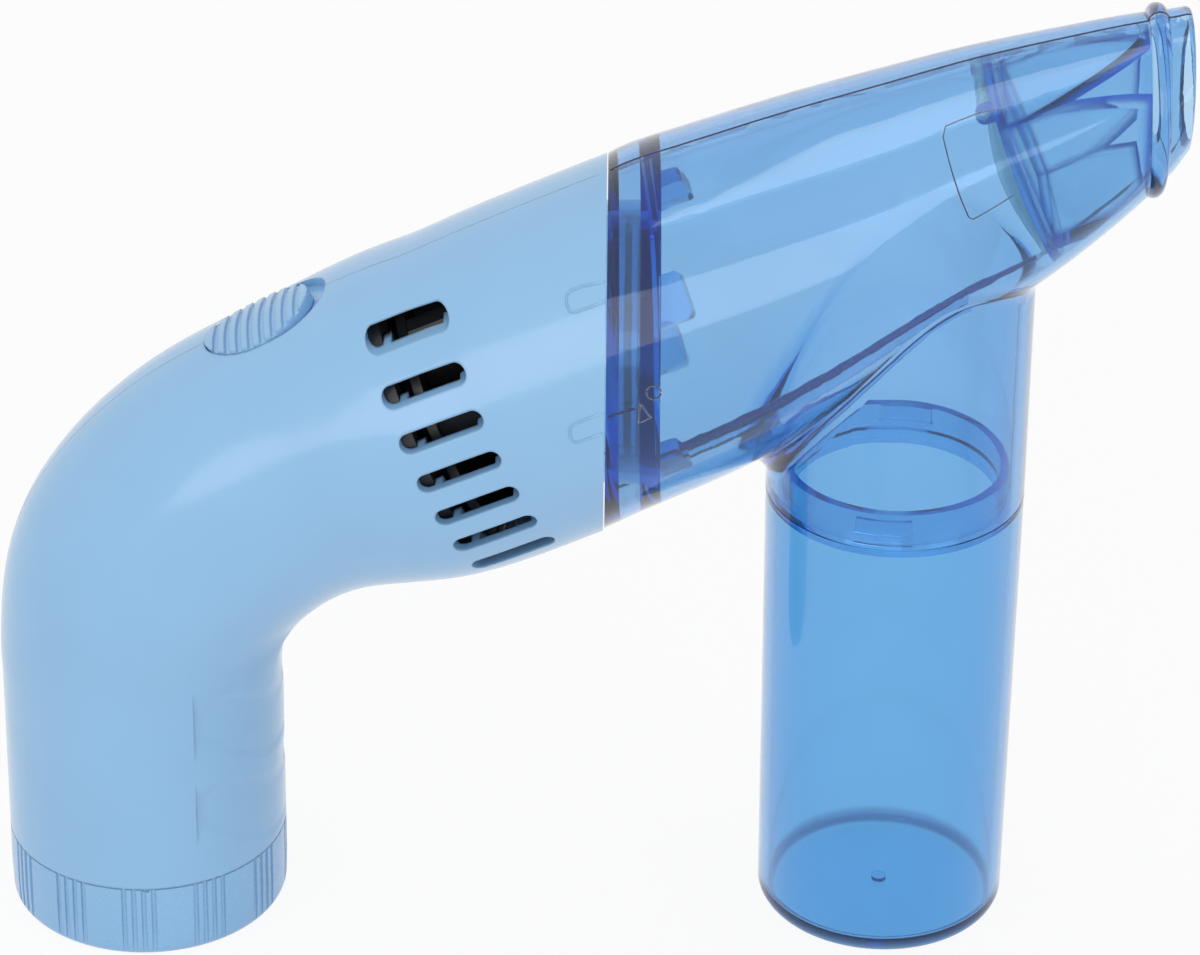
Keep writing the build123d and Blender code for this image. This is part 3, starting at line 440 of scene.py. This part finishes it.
def grip_normal(build, rounded):
    """Rounded normal, with the plain grip's own one over the hollows, so that their ends fade into it."""
    x, y, z = build.place()
    flat = build.add("ShaderNodeCombineXYZ", {"X": x, "Y": y}).outputs[0]
    plain = build.add("ShaderNodeVectorTransform", {0: flat}, vector_type="NORMAL", convert_from="OBJECT",
                      convert_to="WORLD").outputs[0]
    share = build.product(
        spread(build, z, 0.0, 1.0, *GRIP_LOW), spread(build, z, 1.0, 0.0, *GRIP_HIGH),
        spread(build, build.math("ABSOLUTE", y), 0.0, 1.0, *SEAM_FADE), spread(build, x, 0.0, 1.0, *GRIP_SIDE))
    return build.mix("VECTOR", share, rounded, plain)


def inside_shade_share(build):
    """Share, from 0 to 1, of the painted shade on the casing's inside round the vents at a point of its surface.
    """
    x, y, z = build.place()
    slope = math.radians(BODY_SLOPE)
    rise = build.math("SUBTRACT", z, BODY_AXIS_Z)
    run = build.math("ADD", build.product(x, math.cos(slope)), build.product(rise, math.sin(slope)))
    out = build.math("SUBTRACT", build.product(rise, math.cos(slope)), build.product(x, math.sin(slope)))
    return build.product(spread(build, build.reach(out, y), 1.0, 0.0, *DARK_RADIUS),
                         spread(build, run, 0.0, 1.0, *DARK_START), spread(build, run, 1.0, 0.0, *DARK_END))


def moulded(name, colour, rough, grain=PEEL_SCALE, coat=0.0, variation=USUAL_VARIATION, metal=0.0, edge=0.0,
            is_casing=False):
    """Moulded plastic or metal with mottled colour, uneven gloss and a faint orange peel; the casing also gets
    painted shade on its inside round the vents.
    """
    material, build = new_material(name)
    face = mottled(build, MOULD_PATCH, colour, 1 - variation, 1 + variation)
    radius = edge
    if is_casing:
        # Painted shade: the casing's inside round the vents is coloured near black where no light reaches
        face = build.mix("RGBA", inside_shade_share(build), face, rgba(PAINTED_INSIDE_SHADE))
        radius = spread(build, build.place()[0], edge, edge * JOINT_EDGE_SHARE, *JOINT_SHARP)
    normal = None
    if edge:
        normal = build.add("ShaderNodeBevel", {"Radius": radius}, samples=BEVEL_SAMPLES).outputs["Normal"]
    if is_casing:
        normal = bump(build, hollow_height(build), HOLLOW_DEPTH, grip_normal(build, normal))
    shader = build.add("ShaderNodeBsdfPrincipled", {
        "Base Color": face, "Metallic": metal, "Coat Weight": coat, "Coat Roughness": MOULD_COAT_ROUGHNESS,
        "Roughness": spread(build, noise(build, *MOULD_GLOSS), *rough),
        "Normal": bump(build, noise(build, grain, PEEL_DETAIL), PEEL_HEIGHT, normal)})
    build.add("ShaderNodeOutputMaterial", {"Surface": shader.outputs["BSDF"]})
    return material


def painted_foot_shares(build):
    """Shares, from 0 to 1, of the painted shade on the bottle's floor disc and of the painted light on its foot
    rim at a point of its surface.
    """
    low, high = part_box("bottle")
    x, y, z = build.place()
    reach = build.reach(build.math("SUBTRACT", x, (low[0] + high[0]) / 2), y)
    disc = build.product(spread(build, reach, 1.0, 0.0, *FLOOR_FADE), spread(build, z, 1.0, 0.0, *FLOOR_LEVEL))
    rim = build.product(spread(build, reach, 0.0, 1.0, *RIM_FADE), spread(build, z, 1.0, 0.0, *RIM_LEVEL))
    return disc, rim


def near_edge(build):
    """Share, from 0 to 1, of an edge's nearness at a point of a surface."""
    rounded = build.add("ShaderNodeBevel", {"Radius": EDGE_REACH}, samples=BEVEL_SAMPLES).outputs["Normal"]
    flat = build.add("ShaderNodeNewGeometry").outputs["Normal"]
    same = build.math("ABSOLUTE", build.vector("DOT_PRODUCT", rounded, flat, "Value"))
    return spread(build, same, 1.0, 0.0, *EDGE_FADE)


def absorption(build, left_per_mm):
    """Volume that leaves a share of red, green and blue light after each millimetre."""
    loss = [-math.log(share) / MM for share in left_per_mm]
    strength = max(loss) * DENSITY_MARGIN
    return build.add("ShaderNodeVolumeAbsorption", {
        "Color": rgba(1 - value / strength for value in loss), "Density": strength}).outputs["Volume"]


def clear_plastic(name, face, left_per_mm, rough=CLEAR_ROUGH, coat=CLEAR_COAT, haze_share=HAZE_SHARE,
                  footed=False, painted_edge_light=False):
    """Clear dyed plastic: a tinted glass surface round a body that takes light away by its thickness."""
    material, build = new_material(name)
    colour = mottled(build, CLEAR_PATCH, face, *CLEAR_SPAN)
    haze_colour = rgba(HAZE_BLUE)
    if footed:
        # Painted shade on the bottle's floor disc, and painted light on its foot rim
        disc, rim = painted_foot_shares(build)
        colour = build.mix("RGBA", disc, colour, rgba(FLOOR_DISC_SHADE), blend_type="MULTIPLY")
        haze_colour = tint(build, rim, HAZE_BLUE, RIM_LIGHT_BLUE)
        haze_share = spread(build, rim, haze_share, RIM_SHARE, 0.0, 1.0)
    if painted_edge_light:
        # Painted light: a deeper blue diffuse on the duct's edges, where light gathers in the plastic
        haze_colour = rgba(PAINTED_EDGE_BLUE)
        haze_share = spread(build, near_edge(build), haze_share, EDGE_SHARE, 0.0, 1.0)
    shader = build.add("ShaderNodeBsdfPrincipled", {
        "Base Color": colour, "Transmission Weight": 1.0, "IOR": CLEAR_IOR, "Coat Weight": coat,
        "Coat Roughness": CLEAR_COAT_ROUGHNESS,
        "Roughness": spread(build, noise(build, *CLEAR_GLOSS), rough, rough + ROUGH_SPAN),
        "Normal": bump(build, noise(build, *CLEAR_WAVE), CLEAR_WAVE_HEIGHT)})
    haze = build.add("ShaderNodeBsdfDiffuse", {"Color": haze_colour})
    build.add("ShaderNodeOutputMaterial", {
        "Surface": build.mix_shader(haze_share, shader.outputs["BSDF"], haze.outputs["BSDF"]),
        "Volume": absorption(build, left_per_mm)})
    return material


def felt(name, dark, light):
    """Fibrous felt."""
    material, build = new_material(name)
    fibre = noise(build, *FELT_FIBRE)
    shader = build.add("ShaderNodeBsdfPrincipled", {
        "Base Color": tint(build, spread(build, fibre, 0.0, 1.0), dark, light), "Roughness": FELT_ROUGHNESS,
        "Sheen Weight": FELT_SHEEN, "Normal": bump(build, fibre, FELT_HEIGHT)})
    build.add("ShaderNodeOutputMaterial", {"Surface": shader.outputs["BSDF"]})
    return material


def soft_sheet(name, colour):
    """Thin milky sheet that lets part of the light through."""
    material, build = new_material(name)
    shader = build.add("ShaderNodeBsdfPrincipled", {
        "Base Color": mottled(build, SHEET_PATCH, colour, *SHEET_SPAN),
        "Transmission Weight": SHEET_TRANSMISSION, "IOR": SHEET_IOR, "Alpha": SHEET_ALPHA,
        "Roughness": spread(build, noise(build, *SHEET_GLOSS), *SHEET_ROUGH),
        "Normal": bump(build, noise(build, *SHEET_GRAIN), SHEET_GRAIN_HEIGHT)})
    build.add("ShaderNodeOutputMaterial", {"Surface": shader.outputs["BSDF"]})
    return material


def materials():
    """One material for each of the record's slots, and two for the scene's own lines."""
    finish = {name: moulded(name, colour, rough, **more) for name, (colour, rough, more) in MOULDED.items()}
    for name, (face, left_per_mm, more) in CLEAR.items():
        finish[name] = clear_plastic(name, face, left_per_mm, **more)
    finish["flap_green"] = soft_sheet("flap_green", LEAF_GREEN)
    finish["filter_felt"] = felt("filter_felt", FELT_DARK, FELT_LIGHT)
    return finish


def seen_directly(build, share):
    """Share for camera, glossy and transmission rays, 0 for the rest."""
    path = build.add("ShaderNodeLightPath").outputs
    first = build.math("MAXIMUM", path["Is Camera Ray"], path["Is Transmission Ray"])
    return build.product(build.math("MAXIMUM", first, path["Is Glossy Ray"]), share)


def stage():
    """Pale floor that shows white to the camera and still takes a faint shadow, and the world."""
    mesh = bpy.data.meshes.new("floor")
    half = FLOOR_HALF
    mesh.from_pydata([(-half, -half, 0), (half, -half, 0), (half, half, 0), (-half, half, 0)], [], [(0, 1, 2, 3)])
    floor = bpy.data.objects.new("floor", mesh)
    bpy.context.collection.objects.link(floor)
    floor.location.z = -FLOOR_DROP
    material, build = new_material("floor")
    diffuse = build.add("ShaderNodeBsdfDiffuse", {"Color": rgba(FLOOR_GREY)}).outputs["BSDF"]
    glow = build.add("ShaderNodeEmission", {"Color": rgba(WHITE), "Strength": 1.0}).outputs["Emission"]
    build.add("ShaderNodeOutputMaterial", {
        "Surface": build.mix_shader(seen_directly(build, FLOOR_WHITE), diffuse, glow)})
    mesh.materials.append(material)

    world = bpy.data.worlds.new("studio")
    world.use_nodes = True
    bpy.context.scene.world = world
    build = Nodes(world.node_tree)
    room, white = [build.add("ShaderNodeBackground", {"Color": rgba(colour), "Strength": strength}).outputs[0]
                   for colour, strength in ((ROOM_COLOUR, ROOM_STRENGTH), (WHITE, 1.0))]
    build.add("ShaderNodeOutputWorld", {"Surface": build.mix_shader(seen_directly(build, 1.0), room, white)})


def dress(frame, finish):
    """Give every CAD node the material of its slot."""
    slots = {item["node"]: item["material_slot"] for item in frame["record"]["subparts"]}
    for name, item in frame["nodes"].items():
        for place in item.material_slots:
            place.material = finish[slots[name]]


def add_piece(name, corners, faces, material, body):
    """Smooth mesh object from corners in metres, riding on a body."""
    mesh = bpy.data.meshes.new(name)
    mesh.from_pydata(corners, [], faces)
    mesh.validate()
    for face in mesh.polygons:
        face.use_smooth = True
    mesh.materials.append(material)
    item = bpy.data.objects.new(name, mesh)
    bpy.context.collection.objects.link(item)
    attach(item, body)
    return item


def tube_faces(first, size, count):
    """Faces of a closed tube of rings with end caps, from its first corner's number."""
    faces = []
    for ring in range(count - 1):
        low = first + ring * size
        high = low + size
        faces += [(low + step, high + step, high + (step + 1) % size, low + (step + 1) % size)
                  for step in range(size)]
    faces.append(tuple(range(first, first + size)))
    last = first + (count - 1) * size
    faces.append(tuple(reversed(range(last, last + size))))
    return faces


def surface_of(item):
    """Ray-casting tree of a CAD node's surface, in metres."""
    mesh = item.data
    corners = [vertex.co.copy() for vertex in mesh.vertices]
    return BVHTree.FromPolygons(corners, [tuple(face.vertices) for face in mesh.polygons])


def resample(path, step):
    """Points at even steps along a path of corners."""
    made = []
    for start, end in zip(path, path[1:]):
        start = Vector(start)
        end = Vector(end)
        count = max(1, round((end - start).length / step))
        made += [start.lerp(end, share / count) for share in range(count)]
    return made + [Vector(path[-1])]


def lay(tree, starts, direction):
    """Route on a surface where rays from the starts meet it: points and normals."""
    hits = [tree.ray_cast(start, direction) for start in starts]
    return [(hit[0], hit[1]) for hit in hits if hit[0] is not None]


def side_route(tree, path):
    """Path over X and Z in millimetres, laid on the near side of a surface."""
    starts = [Vector((place[0] * MM, RAY_SIDE, place[1] * MM)) for place in resample(path, SIDE_STEP)]
    return lay(tree, starts, Vector((0, 1, 0)))


def top_route(tree, low_x, high_x, y):
    """Line along the top of a surface at a place across it, in millimetres."""
    starts = [Vector((place[0] * MM, y * MM, RAY_TOP)) for place in resample(((low_x, 0), (high_x, 0)), TOP_STEP)]
    return lay(tree, starts, Vector((0, 0, -1)))


def ridge(name, route, size, material, body):
    """Rounded ridge along a route on a surface; its size is its width and height in millimetres."""
    width, height = size
    turns = [math.pi * share / RIDGE_SIDES for share in range(RIDGE_SIDES + 1)]
    foot = width / 2 * MM
    profile = [(foot, -RIDGE_SINK * MM)]
    profile += [(foot * math.cos(turn), height * MM * math.sin(turn)) for turn in turns]
    profile += [(-foot, -RIDGE_SINK * MM)]
    last = len(route) - 1
    corners = []
    for number, (point, normal) in enumerate(route):
        along = (route[min(number + 1, last)][0] - route[max(number - 1, 0)][0]).normalized()
        across = normal.cross(along).normalized()
        corners += [point + across * side + normal * out for side, out in profile]
    add_piece(name, corners, tube_faces(0, len(profile), len(route)), material, body)


def casing_marks(frame, finish):
    """Small raised frames beside the joint on the near side of the casing."""
    tree = surface_of(frame["nodes"]["casing_right"])
    for name, path in (("open_frame", OPEN_FRAME), ("lock_frame", LOCK_FRAME)):
        ridge(name, side_route(tree, path), FRAME_RIDGE, finish["casing_blue"], "casing")


def nozzle_marks(frame, finish):
    """Seam line, step line, pointer, dot, pad outline and a painted shade line along the pad's left edge on the
    nozzle.
    """
    tree = surface_of(frame["nodes"]["nozzle_right"])
    turns = [math.tau * share / DOT_SIDES for share in range(DOT_SIDES + 1)]
    circle = [(DOT_CENTRE[0] + DOT_RADIUS * math.cos(turn), DOT_CENTRE[1] + DOT_RADIUS * math.sin(turn))
              for turn in turns]
    marks = (("top_seam", top_route(tree, *TOP_SEAM), SEAM_RIDGE, "line"),
             ("step_line", side_route(tree, STEP_LINE), STEP_RIDGE, "line"),
             ("pointer", side_route(tree, POINTER), SIGN_RIDGE, "nozzle_clear"),
             ("dot", side_route(tree, circle), SIGN_RIDGE, "nozzle_clear"),
             ("pad_frame", side_route(tree, PAD_FRAME), PAD_RIDGE, "nozzle_clear"),
             # painted shade: a dark line along the pad's left edge
             ("pad_shade_line", side_route(tree, PAD_SHADE_PATH), PAD_SHADE_RIDGE, "line"))
    for name, route, size, look in marks:
        ridge(name, route, size, finish[look], "nozzle")


def keel_stations(tree):
    """Places along the keel's line, each with its lowest and highest level, in millimetres."""
    stations = []
    for place, rise in KEEL_LINE:
        start = Vector((place * MM, KEEL_RAY_SIDE, KEEL_RAY_BASE + KEEL_RAY_SLOPE * place * MM))
        top = tree.ray_cast(start, Vector((0, 0, -1)))[0].z / MM
        stations.append((place, top - KEEL_SINK, top + rise))
    share = (stations[0][0] - KEEL_START) / (stations[1][0] - stations[0][0])
    stations.insert(0, tuple(one - (two - one) * share for one, two in zip(stations[0], stations[1])))
    last = stations[-1]
    tip = (KEEL_TIP[0], KEEL_TIP[1] - KEEL_TIP_HALF, KEEL_TIP[1] + KEEL_TIP_HALF)
    for step in range(1, KEEL_TIP_STEPS + 1):
        share = step / KEEL_TIP_STEPS
        stations.append(tuple(one + (two - one) * share for one, two in zip(last, tip)))
    return stations


def keel_line(frame, finish):
    """Dark strip along the top of the nozzle's keel, run on to the wall before the mouth."""
    near, far_side = KEEL_SIDE
    stations = keel_stations(surface_of(frame["nodes"]["nozzle_right"]))
    corners = []
    for place, low, high in stations:
        soft = min(KEEL_SOFT, (high - low) * KEEL_SOFT_SHARE)
        ring = [(near, low), (near, high - soft), (near + soft, high), (far_side - soft, high),
                (far_side, high - soft), (far_side, low)]
        corners += [(place * MM, y * MM, z * MM) for y, z in ring]
    faces = tube_faces(0, len(corners) // len(stations), len(stations))
    add_piece("keel_line", corners, faces, finish["keel"], "nozzle")


def duct_point(across, up, inward):
    """Point in the plane of the duct's inner end, in metres."""
    lean = math.radians(DUCT_LEAN)
    upward = Vector((-math.sin(lean), 0, math.cos(lean)))
    rear = Vector((-math.cos(lean), 0, -math.sin(lean)))
    place = Vector(DUCT_ORIGIN) + Vector((0, -1, 0)) * across + upward * up + rear * inward
    return place * MM


def sheet_solid(surface, columns, rows):
    """Corners and faces of a sheet with two sides: surface gives both sides' points for shares 0 to 1."""
    corners = []
    for side in (0, 1):
        for row in range(rows + 1):
            corners += [surface(column / columns, row / rows)[side] for column in range(columns + 1)]
    wide = columns + 1
    other = wide * (rows + 1)
    faces = []
    for row in range(rows):
        for column in range(columns):
            one = row * wide + column
            faces.append((one, one + 1, one + wide + 1, one + wide))
            faces.append((other + one, other + one + wide, other + one + wide + 1, other + one + 1))
    edge = list(range(columns)) + [row * wide + columns for row in range(rows)]
    edge += [rows * wide + columns - column for column in range(columns)]
    edge += [(rows - row) * wide for row in range(rows)]
    for one, two in zip(edge, edge[1:] + edge[:1]):
        faces.append((one, other + one, other + two, two))
    return corners, faces


def leaf_surface(across, down):
    """Both sides of the bulged leaf at shares across and down."""
    up = LEAF_TOP + (LEAF_FOOT - LEAF_TOP) * down
    edge = min(LEAF_TOP - up, up - LEAF_FOOT)
    half = LEAF_HALF
    if edge < LEAF_CORNER:
        half -= LEAF_CORNER - math.sqrt(LEAF_CORNER ** 2 - (LEAF_CORNER - edge) ** 2)
    side = 2 * across - 1
    bulge = 0.0
    if 0 < down < 1:
        bulge = LEAF_BULGE * (1 - side ** LEAF_FLATNESS) * math.sin(math.pi * down) ** LEAF_FULLNESS
    return (duct_point(side * half, up, LEAF_GAP + bulge),
            duct_point(side * half, up, LEAF_GAP + bulge + LEAF_THICKNESS))


def tongue_surface(across, down):
    """Both sides of the strip that joins the leaf to its barrel."""
    up = PIN_PLACE[0] + (LEAF_TOP - TONGUE_LAP - PIN_PLACE[0]) * down
    side = (2 * across - 1) * TONGUE_HALF
    return duct_point(side, up, LEAF_GAP), duct_point(side, up, LEAF_GAP + LEAF_THICKNESS)


def pin_rings(radius, reach):
    """Corners of a round pin along the flap's hinge, ring by ring."""
    corners = []
    for across, level in ((-reach, radius - PIN_CHAMFER), (-reach + PIN_CHAMFER, radius),
                          (reach - PIN_CHAMFER, radius), (reach, radius - PIN_CHAMFER)):
        for step in range(PIN_SIDES):
            turn = math.tau * step / PIN_SIDES
            corners.append(duct_point(across, PIN_PLACE[0] + level * math.cos(turn),
                                      PIN_PLACE[1] + level * math.sin(turn)))
    return corners


def flap_leaf(finish):
    """Thin greenish leaf that bulges away from the duct, hung on its pins."""
    corners = []
    faces = []
    for surface, (columns, rows) in ((leaf_surface, LEAF_MESH), (tongue_surface, TONGUE_MESH)):
        new_corners, new_faces = sheet_solid(surface, columns, rows)
        faces += [tuple(len(corners) + number for number in face) for face in new_faces]
        corners += new_corners
    for radius, reach in ((BARREL_RADIUS, TONGUE_HALF), (PIN_RADIUS, PIN_REACH)):
        rings = pin_rings(radius, reach)
        faces += tube_faces(len(corners), PIN_SIDES, len(rings) // PIN_SIDES)
        corners += rings
    leaf = add_piece("bulged_leaf", corners, faces, finish["flap_green"], "flap_leaf")
    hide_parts("flap")


def main():
    """Build the scene."""
    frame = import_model()
    bpy.context.scene.view_settings.view_transform = "Standard"
    camera()
    stage()
    finish = materials()
    dress(frame, finish)
    casing_marks(frame, finish)
    nozzle_marks(frame, finish)
    keel_line(frame, finish)
    flap_leaf(finish)
    for name, lamp in LAMPS.items():
        area_lamp(name, *lamp)


main()
